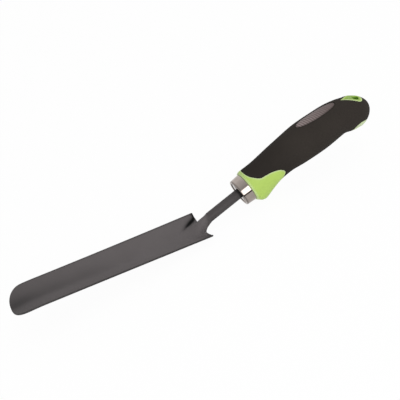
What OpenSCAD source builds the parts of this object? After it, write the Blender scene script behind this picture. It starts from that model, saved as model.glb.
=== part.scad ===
// Narrow hand trowel: a pressed trough blade, a forged stem with a spread foot,
// a plated ferrule, and a hard core with a soft grip moulded round it.
// It lies as it does on a bench, on the heel of its blade and the guard of its handle.

/* [Blade] */
// Length from the heel edge to the tip
blade_len = 166; // [120:1:200]
// Width across the heel corners
heel_w = 39.2; // [34:0.2:46]
// Width where the round of the tip begins
tip_w = 34.6; // [28:0.2:42]
// Length of the round at the tip
tip_len = 13.8; // [8:0.2:18]
// Inside radius of the trough
trough_r = 36; // [30:1:60]
// Thickness of the steel sheet
sheet_t = 1.4; // [1.2:0.1:3]
// Rounding of the two heel corners
heel_corner_r = 0.8; // [0.4:0.1:3]
// Width of the pressed creases beside the foot, at the heel
crease_w = 2.2; // [1:0.1:2.4]
// Distance of each crease from its heel corner, along the heel edge
crease_in = 2.6; // [2:0.1:5]
// Length of the creases along the blade
crease_len = 16; // [10:0.5:24]

/* [Stem and foot] */
// Diameter of the round stem
stem_d = 8; // [6:0.5:10]
// Angle at which the stem rises from the blade
stem_angle = 21.2; // [12:0.2:30]
// Height of the stem's axis above the heel corners
stem_rise = 0.7; // [0:0.1:4]
// Stem from the heel edge to the ferrule, along its axis
stem_show = 38.7; // [30:0.1:60]
// Length of the tang inside the handle
tang_len = 78; // [50:1:95]
// Distance across the two flats of the tang
tang_flats = 6.4; // [5:0.1:8]
// Widest part of the spread foot
foot_w = 27.4; // [18:0.2:30]
// Length of the spread foot along the trough
foot_len = 26; // [20:1:40]
// Height of the foot's skirt above the trough
skirt_h = 1.5; // [1:0.1:3.5]
// Width of the neck where it leaves the heel edge
neck_w = 12.4; // [10:0.2:16]
// Length of the neck behind the heel edge
neck_len = 5.4; // [3:0.2:8]

/* [Ferrule] */
// Outside diameter at the front
ferrule_front_d = 23.8; // [20:0.2:25]
// Outside diameter at the rear
ferrule_rear_d = 25; // [21:0.2:27]
// Length of the ferrule
ferrule_len = 9; // [6:0.5:14]
// Wall of the ferrule
ferrule_t = 1; // [0.6:0.1:1.6]
// Rounding of the front edge
ferrule_edge_r = 1.2; // [0.4:0.1:2]

/* [Handle] */
// Length from the ferrule to the end of the butt
handle_len = 128.6; // [115:0.2:150]
// Distance of the finger guard's lowest point behind the ferrule
guard_at = 8.5; // [6:0.1:11]
// Distance of the slimmest place behind the ferrule
waist_at = 38; // [32:0.5:46]
// Distance of the palm swell behind the ferrule
palm_at = 66; // [58:0.5:72]
// Distance of the hollow before the hook from the end of the butt
seat_in = 33.6; // [30:0.2:38]
// Length of the round that closes the butt
butt_len = 16.6; // [12:0.2:20]
// Radius of the collar behind the ferrule
collar_r = 13.6; // [12.8:0.1:16]
// Depth of the finger guard below the axis
guard_depth = 19.8; // [16:0.1:24]
// Slimmest depth below the axis, behind the finger guard
waist_depth = 12.6; // [10:0.1:16]
// Highest point of the palm swell above the axis
palm_rise = 17.4; // [14:0.1:20]
// Depth of the palm swell below the axis
palm_depth = 17; // [14:0.1:20]
// Width of the palm swell
palm_w = 31.8; // [26:0.2:38]
// Depth of the hook at the butt, below the axis
hook_depth = 22.5; // [18:0.1:26]
// Fall of the back over the butt, for each millimetre of length
butt_fall = 0.4; // [0.2:0.05:0.6]
// Width of the collar where it shows on top
collar_show = 2.2; // [1:0.1:4]
// Distance of the green lobe's tip behind the ferrule
lobe_at = 31.5; // [24:0.5:34]
// Thickness of the soft sleeve over the core
sleeve_t = 2.6; // [1.6:0.1:3.5]

/* [Butt] */
// Diameter of the hang hole
hang_d = 6; // [4:0.2:7]
// Distance of the hang hole's middle from the end of the butt
hang_in = 12.6; // [11:0.2:16]
// Depth of the hang hole's middle below the axis
hang_depth = 9.4; // [7:0.2:11]
// Lean of the hang hole from square to the axis
hang_tilt = 20; // [0:1:25]
// Length of the drop-shaped window on top of the butt
drop_len = 14.4; // [10:0.2:18]
// Width of the drop-shaped window
drop_w = 11.8; // [8:0.2:14]
// Distance of the drop's round end from the end of the butt
drop_in = 4.2; // [3:0.2:6]
// Length of the arched patch under the butt
patch_len = 21; // [14:0.5:24]
// Distance of the patch's middle from the end of the butt
patch_in = 19; // [16:0.5:22]

/* [Badge] */
// Length of the oval badge
badge_len = 38.5; // [20:0.5:44]
// Width of the oval badge
badge_w = 10.6; // [6:0.2:14]
// Distance of the badge's middle from the end of the butt
badge_in = 48.1; // [42:0.1:56]
// Thickness of the badge, and depth of its pocket
badge_depth = 1.4; // [0.8:0.1:1.6]

/* [Fits] */
// Gap of the sliding fits, stem in ferrule and tang in core
fit_gap = 0.1; // [0.05:0.05:0.3]

/* [Hidden] */
$fn = 64;
side_points = 28;
overcut = 1;

stem_r = stem_d / 2;
collar_at = stem_show + ferrule_len;
trough_depth = trough_r - sqrt(trough_r * trough_r - heel_w * heel_w / 4);
heel_bottom = trough_depth + sheet_t;

// Smooth curve through [place, value] points: cubic pieces whose slopes
// come from the neighbouring points
function slope(p, i) =
    let (a = max(i - 1, 0), b = min(i + 1, len(p) - 1))
    (p[b][1] - p[a][1]) / (p[b][0] - p[a][0]);
function piece(p, x, i = 0) = i >= len(p) - 2 || x < p[i + 1][0] ? i : piece(p, x, i + 1);
function curve(p, x) =
    let (i = piece(p, x), w = p[i + 1][0] - p[i][0], t = min(max((x - p[i][0]) / w, 0), 1))
    p[i][1] * (1 + 2 * t) * pow(1 - t, 2) + slope(p, i) * w * t * pow(1 - t, 2)
    + p[i + 1][1] * t * t * (3 - 2 * t) + slope(p, i + 1) * w * t * t * (t - 1);

// Triangles that join a row of rings, all with the same count of points,
// into a closed skin with flat ends
function skin_faces(rings, n) = concat(
    [for (r = [0:rings - 2]) for (k = [0:n - 1])
        [r * n + k, (r + 1) * n + (k + 1) % n, r * n + (k + 1) % n]],
    [for (r = [0:rings - 2]) for (k = [0:n - 1])
        [r * n + k, (r + 1) * n + k, (r + 1) * n + (k + 1) % n]],
    [[for (k = [0:n - 1]) k]],
    [[for (k = [n - 1:-1:0]) (rings - 1) * n + k]]);
module skin(rings) {
    n = len(rings[0]);
    polyhedron(points = [for (r = rings) each r], faces = skin_faces(len(rings), n), convexity = 8);
}

// Side lines of the handle, each as [distance behind the ferrule, distance from the axis]
collar_swell = 1.2;
seat_at = handle_len - seat_in;
hook_at = handle_len - butt_len;
// Place between two others, as a part of the way from the first to the second
function part_way(from, to, part) = from + (to - from) * part;
top_line = [
    [0, collar_r],
    [guard_at * 0.35, collar_r + collar_swell],
    [guard_at * 2, collar_r + collar_swell],
    [waist_at, palm_rise * 0.925],
    [palm_at * 0.94, palm_rise],
    [part_way(palm_at, seat_at, 0.68), palm_rise * 0.85],
    [seat_at, palm_rise * 0.76],
    [part_way(seat_at, hook_at, 0.54), palm_rise * 0.63],
    [hook_at, palm_rise * 0.45],
];
bottom_line = [
    [0, collar_r],
    [guard_at * 0.14, collar_r + collar_swell],
    [guard_at * 0.53, guard_depth * 0.93],
    [guard_at, guard_depth],
    [guard_at * 2, guard_depth * 0.83],
    [guard_at * 3.1, waist_depth * 1.06],
    [waist_at, waist_depth],
    [part_way(waist_at, palm_at, 0.5), palm_depth * 0.88],
    [part_way(palm_at, seat_at, 0.28), palm_depth],
    [part_way(palm_at, seat_at, 0.84), palm_depth * 0.965],
    [seat_at, palm_depth * 0.98],
    [part_way(seat_at, hook_at, 0.5), hook_depth * 0.9],
    [hook_at, hook_depth],
];
side_line = [
    [0, collar_r],
    [guard_at / 2, collar_r],
    [guard_at * 2, collar_r * 0.985],
    [waist_at, palm_w * 0.45],
    [palm_at, palm_w * 0.5],
    [seat_at, palm_w * 0.497],
    [hook_at, palm_w * 0.437],
];

// Ring of the handle's skin at distance s, drawn in by inset; past hook_at
// the ring shrinks along a quarter ellipse to close the butt
function shrink(s, end) = s <= hook_at ? 1 : sqrt(max(1 - pow((s - hook_at) / (end - hook_at), 2), 0));
function handle_ring(s, inset, n) =
    let (
        at = min(s, hook_at),
        top = curve(top_line, at) - butt_fall * (s - at) - inset,
        bottom = -curve(bottom_line, at) + inset,
        side = curve(side_line, at) - inset,
        k = shrink(s, handle_len - inset)
    )
    [for (i = [0:n - 1])
        let (a = 360 * i / n)
        [s, side * k * cos(a), (top + bottom) / 2 + (top - bottom) / 2 * k * sin(a)]];
// Distances of the rings: close together at the collar and round the butt
function ring_places(first, end, body, cap) = concat(
    [for (i = [0:body]) first + (hook_at - first) * pow(i / body, 1.35)],
    [for (i = [1:cap]) hook_at + (end - hook_at) * sin(87 * i / cap)]);
outer_rings = [for (s = ring_places(0, handle_len, 34, 9)) handle_ring(s, 0, side_points)];
core_start = collar_swell;
inner_rings = [for (s = ring_places(core_start, handle_len - sleeve_t, 18, 5))
    handle_ring(s, sleeve_t, 20)];

// Places of the handle in the blade's own frame, and the tilt at which
// the heel and the handle both touch the bench
function on_tool(p) = [
    (collar_at + p[0]) * cos(stem_angle) - p[2] * sin(stem_angle),
    p[1],
    stem_rise + (collar_at + p[0]) * sin(stem_angle) + p[2] * cos(stem_angle)];
handle_points = [for (r = outer_rings) for (p = r) on_tool(p)];
rest_angle = min([for (p = handle_points) atan2(p[2] + heel_bottom, p[0])]);
rear_x = max([for (p = handle_points) p[0] * cos(rest_angle) + p[2] * sin(rest_angle)]);
front_x = -blade_len * cos(rest_angle) - heel_bottom * sin(rest_angle);
module lay() {
    translate([-(front_x + rear_x) / 2, 0, heel_bottom * cos(rest_angle)])
        rotate([0, rest_angle, 0])
            children();
}
// Frame of the stem: X along its axis, from the heel edge towards the handle
module along_stem() {
    translate([0, 0, stem_rise])
        rotate([0, -stem_angle, 0])
            children();
}
module along_handle() {
    along_stem()
        translate([collar_at, 0, 0])
            children();
}
// Cylinder along X
module rod(r, from, to) {
    translate([from, 0, 0])
        rotate([0, 90, 0])
            cylinder(r = r, h = to - from);
}

// Half width of the blade at distance x ahead of the heel edge
blade_straight = blade_len - tip_len;
function blade_half(x) = (tip_w + (heel_w - tip_w) * pow(1 - min(x / blade_straight, 1), 2)) / 2;
function heel_arc(side) = [for (i = [0:4])
    let (a = 90 * (side > 0 ? i : 4 - i) / 4)
    [heel_corner_r * (cos(a) - 1), side * (heel_w / 2 - heel_corner_r + heel_corner_r * sin(a))]];
blade_edge = [for (i = [1:8]) blade_straight * i / 8];
// The tip is a little fuller than an ellipse
tip_power = 2 / 2.2;
function tip_point(a) = [
    -blade_straight - tip_len * pow(cos(a), tip_power),
    tip_w / 2 * sign(a) * pow(abs(sin(a)), tip_power)];
module blade_outline() {
    polygon(concat(
        heel_arc(1),
        [for (x = blade_edge) [-x, blade_half(x)]],
        [for (a = [84:-6:-84]) tip_point(a)],
        [for (i = [7:-1:0]) [-blade_edge[i], -blade_half(blade_edge[i])]],
        heel_arc(-1)));
}
function trough_z(y) = trough_r - trough_depth - sqrt(trough_r * trough_r - y * y);
module trough(r) {
    translate([0, 0, trough_r - trough_depth])
        rod(r, -blade_len - overcut, overcut);
}
// Crease pressed into the inner face on one side of the foot: two cones and a
// ball at their bend, wide at the heel edge and running out along the blade
crease_points = [
    [0, heel_w / 2 - crease_in],
    [-crease_len * 0.2, foot_w * 0.49],
    [-crease_len, foot_w * 0.3]];
crease_radii = [crease_w * 0.5, crease_w * 0.4, crease_w * 0.1];
function in_trough(p) = [p[0], p[1], trough_z(p[1])];
module crease_run(i) {
    from = in_trough(crease_points[i]);
    run = in_trough(crease_points[i + 1]) - from;
    translate(from)
        rotate([0, acos(run[2] / norm(run)), atan2(run[1], run[0])])
            cylinder(r1 = crease_radii[i], r2 = crease_radii[i + 1], h = norm(run));
}
module crease() {
    crease_run(0);
    translate(in_trough(crease_points[1]))
        sphere(r = crease_radii[1]);
    crease_run(1);
}
module blade() {
    color([0.36, 0.35, 0.36])
        lay()
            difference() {
                intersection() {
                    difference() {
                        trough(trough_r + sheet_t);
                        trough(trough_r);
                    }
                    translate([0, 0, -heel_bottom - overcut])
                        linear_extrude(heel_bottom + 2 * overcut)
                            blade_outline();
                }
                crease();
                mirror([0, 1, 0])
                    crease();
            }
}

// Spread foot: a low skirt that fits the trough, with a ridge that grows
// out of it into the stem. Rings stand square to the blade's length.
weld_gap = fit_gap / 2;
foot_rim = 0.3;
skirt_widest = 2.2;
stem_slope = tan(stem_angle);
function stem_z(x) = stem_rise + x * stem_slope;
skirt_half = [
    [-foot_len, foot_w * 0.137],
    [-foot_len * 0.77, foot_w * 0.225],
    [-foot_len * 0.56, foot_w * 0.3],
    [-foot_len * 0.45, foot_w * 0.36],
    [-foot_len * 0.3, foot_w * 0.415],
    [-skirt_widest, foot_w / 2],
    [-skirt_widest / 2, (foot_w + neck_w) / 4],
    [0, neck_w / 2],
    [neck_len / 2, (neck_w / 2 + stem_r * 2) / 3],
    [neck_len, stem_r * 0.9],
];
skirt_rise = [
    [-foot_len, 0],
    [-foot_len * 0.77, skirt_h * 0.1],
    [-foot_len * 0.46, skirt_h * 0.7],
    [-foot_len * 0.23, skirt_h],
    [-skirt_widest, skirt_h],
    [0, skirt_h * 0.8],
    [neck_len, skirt_h * 0.3],
];
ridge_start = 7;
ridge_full = 2;
ridge_top = [
    [-foot_len, -trough_depth + foot_rim],
    [-foot_len * 0.77, -trough_depth + foot_rim + skirt_h * 0.35],
    [-foot_len * 0.5, -trough_depth + foot_rim + skirt_h * 1.5],
    [-ridge_start, stem_z(-ridge_start) + stem_r * 0.55],
    [-ridge_full, stem_z(-ridge_full) + stem_r * 0.93],
    [0, stem_z(0) + stem_r * 0.9],
    [neck_len, stem_z(neck_len)],
];
ridge_half = [
    [-foot_len, foot_w * 0.137],
    [-foot_len * 0.6, stem_r * 1.8],
    [-ridge_start, stem_r * 2],
    [-ridge_full, stem_r * 1.65],
    [0, stem_r * 1.45],
    [neck_len, stem_r * 0.9],
];
// Underside: on the trough as far as the heel edge, then up to the stem
function foot_under(x, y) =
    let (t = min(max(x / neck_len, 0), 1), lift = t * t * (3 - 2 * t))
    (trough_z(y) + weld_gap) * (1 - lift) + (stem_z(x) - stem_r * 0.7) * lift;
function foot_over(x, y) =
    let (
        skirt = curve(skirt_rise, x) * max(1 - pow(y / curve(skirt_half, x), 2), 0),
        middle = foot_under(x, 0) + foot_rim + curve(skirt_rise, x),
        ridge = pow(max(1 - pow(y / curve(ridge_half, x), 2), 0), 0.75)
    )
    foot_under(x, y) + foot_rim + skirt + max(curve(ridge_top, x) - middle, 0) * ridge;
foot_points = 18;
function foot_ring(x) =
    let (half = curve(skirt_half, x))
    concat(
        [for (i = [0:foot_points]) let (y = -half * cos(180 * i / foot_points)) [x, y, foot_under(x, y)]],
        [for (i = [0:foot_points]) let (y = half * cos(180 * i / foot_points)) [x, y, foot_over(x, y)]]);
module spread_foot() {
    skin(concat(
        [for (i = [0:12]) foot_ring(-foot_len + (foot_len - skirt_widest) * i / 12)],
        [for (i = [1:4]) foot_ring(-skirt_widest + skirt_widest * i / 4)],
        [for (i = [1:4]) foot_ring(neck_len * i / 4)]));
}
// Tang with two flats; grow widens it for the socket in the core
module tang(grow) {
    intersection() {
        rod(stem_r + grow, 0, tang_len + grow);
        translate([-overcut, -tang_flats / 2 - grow, -stem_r - overcut])
            cube([tang_len + grow + overcut, tang_flats + 2 * grow, stem_d + 2 * overcut]);
    }
}
stem_buried = 5;
module stem() {
    color([0.31, 0.3, 0.29])
        lay() {
            spread_foot();
            along_stem()
                rod(stem_r, -stem_buried, collar_at);
            along_handle()
                tang(0);
        }
}

// Ferrule: a drawn cup with a rounded front edge, over the nose of the core
ferrule_front_r = ferrule_front_d / 2;
ferrule_rear_r = ferrule_rear_d / 2;
nose_front_r = ferrule_front_r - ferrule_t - fit_gap;
nose_rear_r = ferrule_rear_r - ferrule_t - fit_gap;
module ferrule() {
    color([0.82, 0.82, 0.84])
        lay()
            along_stem()
                translate([stem_show, 0, 0])
                    rotate([0, 90, 0])
                        difference() {
                            rotate_extrude()
                                polygon(concat(
                                    [[0, 0]],
                                    [for (a = [0:15:90])
                                        [ferrule_front_r - ferrule_edge_r * (1 - sin(a)),
                                            ferrule_edge_r * (1 - cos(a))]],
                                    [[ferrule_rear_r, ferrule_len], [0, ferrule_len]]));
                            translate([0, 0, ferrule_t])
                                cylinder(r1 = nose_front_r + fit_gap, r2 = nose_rear_r + fit_gap,
                                    h = ferrule_len - ferrule_t);
                            translate([0, 0, -overcut])
                                cylinder(r = stem_r + fit_gap, h = ferrule_len);
                        }
}

// Regions of the handle's skin where the core shows, seen from the side.
// The guard's upper edge falls from the top of the collar and ends in a round lobe.
guard_edge = [
    [collar_show, collar_r * 1.3],
    [collar_show * 1.45, collar_r * 1.045],
    [guard_at * 0.8, collar_r * 0.78],
    [guard_at * 1.3, collar_r * 0.545],
    [guard_at * 1.88, collar_r * 0.485],
    [guard_at * 2.6, collar_r * 0.42],
    [part_way(guard_at, lobe_at, 0.85), collar_r * 0.25],
    [part_way(guard_at, lobe_at, 0.957), collar_r * 0.06],
];
edge_last = guard_edge[len(guard_edge) - 1][0];
lobe_tip = [
    [lobe_at, -guard_depth * 0.1],
    [part_way(guard_at, lobe_at, 0.965), -guard_depth * 0.22],
    [part_way(guard_at, lobe_at, 0.843), -guard_depth * 0.435],
    [part_way(guard_at, lobe_at, 0.63), -guard_depth],
    [part_way(guard_at, lobe_at, 0.61), -guard_depth - overcut],
];
module guard_region() {
    polygon(concat(
        [[-overcut, -guard_depth - overcut], [-overcut, collar_r * 1.3]],
        [for (i = [0:24])
            let (x = part_way(collar_show, edge_last, i / 24))
            [x, curve(guard_edge, x)]],
        lobe_tip));
}
// Low patch of the butt: an arch in the side view, with its crown on the hang hole's line
patch_at = handle_len - patch_in;
patch_half = patch_len / 2;
patch_crown = -hook_depth * 0.48;
module butt_patch_region() {
    polygon(concat(
        [for (a = [0:10:180])
            [patch_at + patch_half * cos(a), -hook_depth + (patch_crown + hook_depth) * sin(a)]],
        [[patch_at - patch_half, -hook_depth - overcut], [patch_at + patch_half, -hook_depth - overcut]]));
}
// Upper window of the butt: a drop seen from above, its point towards the blade
drop_end = handle_len - drop_in;
drop_half = drop_w / 2;
module butt_drop_region() {
    polygon([for (a = [0:10:350])
        let (t = (1 - cos(a)) / 2)
        [drop_end - drop_len * t, drop_half * sin(a) * pow(1 - t, 0.35)]]);
}
// Volumes that cut the handle's skin into core and sleeve
wide = 60;
module from_side() {
    translate([0, wide / 2, 0])
        rotate([90, 0, 0])
            linear_extrude(wide)
                children();
}
module core_windows() {
    from_side()
        guard_region();
    from_side()
        butt_patch_region();
    translate([0, 0, patch_crown])
        linear_extrude(wide / 2)
            butt_drop_region();
}
module handle_skin() {
    skin(outer_rings);
}
module core_body() {
    skin(inner_rings);
}
module hang_bore() {
    translate([handle_len - hang_in, 0, -hang_depth])
        rotate([0, hang_tilt, 0])
            cylinder(d = hang_d, h = wide, center = true);
}
nose_overlap = 3;
module handle_core() {
    color([0.66, 0.82, 0.3])
        lay()
            along_handle()
                difference() {
                    union() {
                        core_body();
                        intersection() {
                            handle_skin();
                            core_windows();
                        }
                        translate([ferrule_t - ferrule_len + fit_gap, 0, 0])
                            rotate([0, 90, 0])
                                cylinder(r1 = nose_front_r, r2 = nose_rear_r,
                                    h = ferrule_len - ferrule_t - fit_gap);
                        rod(nose_rear_r, -fit_gap, nose_overlap);
                    }
                    rod(stem_r + fit_gap, -ferrule_len, fit_gap);
                    tang(fit_gap);
                    hang_bore();
                }
}

// Pocket of the badge: an oval cut to an even depth below the skin
badge_at = handle_len - badge_in;
pocket_rings = [for (s = ring_places(core_start, handle_len - badge_depth, 18, 5))
    handle_ring(s, badge_depth, side_points)];
module badge_pocket(gap) {
    difference() {
        translate([badge_at, 0, 0])
            linear_extrude(wide / 2)
                polygon([for (a = [0:9:351])
                    [(badge_len / 2 + gap) * cos(a), (badge_w / 2 + gap) * sin(a)]]);
        skin(pocket_rings);
    }
}
module grip_sleeve() {
    color([0.21, 0.2, 0.18])
        lay()
            along_handle()
                difference() {
                    handle_skin();
                    core_body();
                    core_windows();
                    badge_pocket(fit_gap);
                }
}
module badge() {
    color([0.42, 0.38, 0.37])
        lay()
            along_handle()
                intersection() {
                    handle_skin();
                    badge_pocket(0);
                }
}

blade();
stem();
ferrule();
handle_core();
grip_sleeve();
badge();
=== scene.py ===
import math

import bpy
import numpy as np
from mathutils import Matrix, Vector


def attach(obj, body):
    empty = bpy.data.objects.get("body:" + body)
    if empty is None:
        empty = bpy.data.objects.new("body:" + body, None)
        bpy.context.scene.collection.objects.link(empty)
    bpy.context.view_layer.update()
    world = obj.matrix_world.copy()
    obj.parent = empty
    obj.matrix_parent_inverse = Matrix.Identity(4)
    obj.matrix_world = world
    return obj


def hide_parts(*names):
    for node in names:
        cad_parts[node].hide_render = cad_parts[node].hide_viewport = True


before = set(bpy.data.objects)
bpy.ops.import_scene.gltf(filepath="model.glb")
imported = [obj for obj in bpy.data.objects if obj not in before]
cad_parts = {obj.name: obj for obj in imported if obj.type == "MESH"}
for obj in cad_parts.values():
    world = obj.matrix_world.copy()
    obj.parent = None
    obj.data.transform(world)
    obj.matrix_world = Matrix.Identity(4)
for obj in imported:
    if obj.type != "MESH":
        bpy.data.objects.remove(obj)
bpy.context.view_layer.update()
print("frame loaded")

# The tool's own frame, in mm: the blade's heel edge at x 0, its corners at z 0 and the handle towards +X. The
# part lies on its heel and its finger guard, so points are turned about Y and moved.
rest = {"angle": math.radians(9.224), "shift": [-4.95425, 0.0, 7.11016]}
stemLine = {
    "angle": math.radians(21.2),  # of the axis, up from the plane of the blade
    "rise": 0.7,  # height of the axis over the heel edge
    "show": 38.7,  # from the heel edge to the front of the ferrule
    "radius": 4.2, "sag": 0.2}  # the bar hangs a little below the handle's axis
ferruleLength = 9.0
collarAt = stemLine["show"] + ferruleLength


def layDown(points):
    # tool frame in mm to part frame in m: turned about Y by the rest angle, then moved
    x, y, z = np.moveaxis(points, -1, 0)
    c, s = math.cos(rest["angle"]), math.sin(rest["angle"])
    return (np.stack([x * c + z * s, y, z * c - x * s], -1) + rest["shift"]) / 1000.0


def alongStem(points):
    # x along the stem's axis from the heel edge, z square to it: turned about Y by its angle, then raised
    x, y, z = np.moveaxis(points, -1, 0)
    c, s = math.cos(stemLine["angle"]), math.sin(stemLine["angle"])
    return np.stack([x * c - z * s, y, stemLine["rise"] + x * s + z * c], -1)


def alongHandle(points):
    # the same axis, with x from the collar's front
    return alongStem(points + [collarAt, 0, 0])


def smoothStep(low, high, x):
    # 0 before low, 1 past high, and three t squared less two t cubed between
    t = np.clip((x - low) / (high - low), 0, 1)
    return t * t * (3 - 2 * t)


def bell(x, width):
    # e to the minus square of x over the width
    return np.exp(-(x / width) ** 2)


def curveThrough(knots, x):
    # cubic pieces through [place, value] knots, with slopes from the knots beside
    k = np.asarray(knots, float)
    n = len(k)
    low, high = np.maximum(np.arange(n) - 1, 0), np.minimum(np.arange(n) + 1, n - 1)
    slope = (k[high, 1] - k[low, 1]) / (k[high, 0] - k[low, 0])
    i = np.clip(np.searchsorted(k[1:-1, 0], x, side="right"), 0, n - 2)
    w = k[i + 1, 0] - k[i, 0]
    t = np.clip((x - k[i, 0]) / w, 0, 1)
    return (k[i, 1] * (1 + 2 * t) * (1 - t) ** 2 + slope[i] * w * t * (1 - t) ** 2
            + k[i + 1, 1] * t * t * (3 - 2 * t) + slope[i + 1] * w * t * t * (t - 1))


def addObject(name, data):
    # an object in the scene with this data
    item = bpy.data.objects.new(name, data)
    bpy.context.scene.collection.objects.link(item)
    return item


def makePiece(name, points, faces, shade, node):
    # triangles put into a smooth mesh as whole arrays, with a tone on the points for painted shading, above
    # zero painted shade and below zero painted light; the piece stands for one CAD node on the root body
    points = np.asarray(layDown(points), np.float32)
    faces = np.asarray(faces, np.int32)
    mesh = bpy.data.meshes.new(name)
    mesh.vertices.add(len(points))
    mesh.vertices.foreach_set("co", points.ravel())
    mesh.loops.add(faces.size)
    mesh.loops.foreach_set("vertex_index", faces.ravel())
    mesh.polygons.add(len(faces))
    mesh.polygons.foreach_set("loop_start", np.arange(0, faces.size, 3, dtype=np.int32))
    mesh.polygons.foreach_set("use_smooth", np.ones(len(faces), bool))
    mesh.update(calc_edges=True)
    mesh.validate()
    tone = mesh.attributes.new("shade", "FLOAT", "POINT")
    tone.data.foreach_set("value", np.asarray(shade, np.float32))
    piece = addObject(name, mesh)
    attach(piece, "root")
    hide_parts(node)
    return piece


def weld(points, faces):
    # points that coincide become one, and faces that lose a side go
    key = np.round(points * 1e4).astype(np.int64)
    first, back = np.unique(key, axis=0, return_index=True, return_inverse=True)[1:]
    f = back.reshape(-1)[faces]
    whole = (f != np.roll(f, -1, axis=1)).all(1)
    return points[first], f[whole], first


def gridFaces(rows, columns, closed):
    # two triangles for each cell of a grid of rows; closed joins the last column to the first
    r = np.arange(rows - 1)[:, None]
    k = np.arange(columns if closed else columns - 1)
    a, b = r * columns + k, r * columns + (k + 1) % columns
    c, d = a + columns, b + columns
    return np.concatenate([np.stack([a, b, d], -1), np.stack([a, d, c], -1)]).reshape(-1, 3)


def bandFaces(a, b):
    # two triangles for each step round two closed loops of equal count
    a2, b2 = np.roll(a, -1), np.roll(b, -1)
    return np.concatenate([np.stack([a, b, b2], -1), np.stack([a, b2, a2], -1)])


def fanFaces(ring, tip, flip):
    # one triangle for each step round a ring, to one point in its middle
    nextOne = np.roll(ring, -1)
    tips = np.full(len(ring), tip)
    return np.stack([nextOne, ring, tips] if flip else [ring, nextOne, tips], -1)


def loft(rings):
    # closed skin over rings of equal count, ends closed to their middles; rings turn from +Y to +Z towards +X
    rows, columns = rings.shape[:2]
    points = np.concatenate([rings.reshape(-1, 3), rings[0].mean(0)[None], rings[-1].mean(0)[None]])
    n = rows * columns
    faces = np.concatenate([gridFaces(rows, columns, True), fanFaces(np.arange(columns), n, True),
                            fanFaces(np.arange(n - columns, n), n + 1, False)])
    return points, faces


# Blade: a trough of one radius, narrowing to a rounded tip, with a pressed crease on each side of the foot.
# Pairs are where a fade begins and where it ends.
blade = {
    "length": 165.77, "heel": 39.2, "tip": 35.51, "taper": 1.6, "radius": 36.0, "sheet": 1.4,
    "tipLength": 14.8, "tipPower": 0.82, "tipDroop": 1.76, "droopFrom": -142.0,
    "corner": 0.8, "edge": 0.45, "edgeTurns": [22.5, 45, 67.5, 90], "fineTo": 24.0, "rows": 52,
    "crease": {
        "line": [[-26, 3.6], [-20, 5.6], [-14.6, 7.5], [-11.7, 9.0], [-7.7, 10.7], [-3.2, 12.7], [-1.2, 14.6],
                 [0, 16.4]],
        "reach": 19.0, "slant": 0.8, "depth": 0.9, "wing": 1.5, "foot": 0.6, "runOut": 1.3, "nearShare": 0.2},
    # painted shade on the coat: in the creases, on the rear corners of the wings, a dark line along the rim,
    # and darker towards the tip and along a streak
    "paintedShading": {
        "wing": 2.0, "foot": 1.3, "gain": 1.6, "fade": (0.98, 0.2), "nearShare": 0.04,
        "rear": 2.3, "rearAcross": (13.0, 15.5), "near": 0.42, "nearAlong": (-9, -1),
        "nearAcross": (-11, -16), "rim": 0.6, "line": 0.4, "lineWidth": (1.5, 0.1), "heelReach": 9.0,
        "tip": 0.29, "tipAlong": (-40, -150), "plain": 0.42, "streak": 0.85, "streakAt": 0.6,
        "streakFar": 7.5, "streakNear": 4.2, "end": 0.27, "endAlong": (-138, -164), "endWidth": 10}}
blade["depth"] = blade["radius"] - math.sqrt(blade["radius"] ** 2 - blade["heel"] ** 2 / 4)
blade["straight"] = blade["length"] - blade["tipLength"]


def troughZ(y, deeper=0.0):
    # height of the trough: a circle about an axis over the middle line, its radius grown for the under side
    r = blade["radius"]
    return r - blade["depth"] - np.sqrt((r + deeper) ** 2 - y ** 2)


def tipFall(x):
    # the tip turns down by the square of the way to its very end
    t = (x - blade["droopFrom"]) / (-blade["length"] - blade["droopFrom"])
    return blade["tipDroop"] * np.clip(t, 0, 1) ** 2


def bladeHalf(x):
    # half width: from heel to tip width by a power of the way that is left
    t = np.clip(-x / blade["straight"], 0, 1)
    return (blade["tip"] + (blade["heel"] - blade["tip"]) * (1 - t) ** blade["taper"]) / 2


def creaseLine(x):
    # how far from the middle line the crease runs, a curve through its knots
    line = blade["crease"]["line"]
    return curveThrough(line, np.clip(x, line[0][0], 0))


def creaseShape(x, y, widths):
    # a bell across the crease, of one width towards the wing and one towards the foot; the way along it; and
    # the share of each side
    off = (np.abs(y) - creaseLine(x)) * blade["crease"]["slant"]
    along = np.clip(-x / blade["crease"]["reach"], 0, 1)
    shape = bell(off, np.where(off > 0, widths["wing"], widths["foot"]))
    return shape, along, np.where(y > 0, 1.0, widths["nearShare"])


def creaseDip(x, y):
    # depth of the groove: its shape times a power of the way that is left along it
    c = blade["crease"]
    shape, along, share = creaseShape(x, y, c)
    return c["depth"] * shape * (1 - along) ** c["runOut"] * share


def creaseShade(x, y):
    # painted shade in the groove, fading along it, and on the rear corners of both wings
    s = blade["paintedShading"]
    shape, along, share = creaseShape(x, y, s)
    groove = np.clip(s["gain"] * shape * smoothStep(*s["fade"], along), 0, 1) * share
    rear = bell(x, s["rear"]) * smoothStep(*s["rearAcross"], y)
    near = s["near"] * smoothStep(*s["nearAlong"], x) * smoothStep(*s["nearAcross"], y)
    return np.maximum(np.maximum(groove, rear), near)


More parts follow.
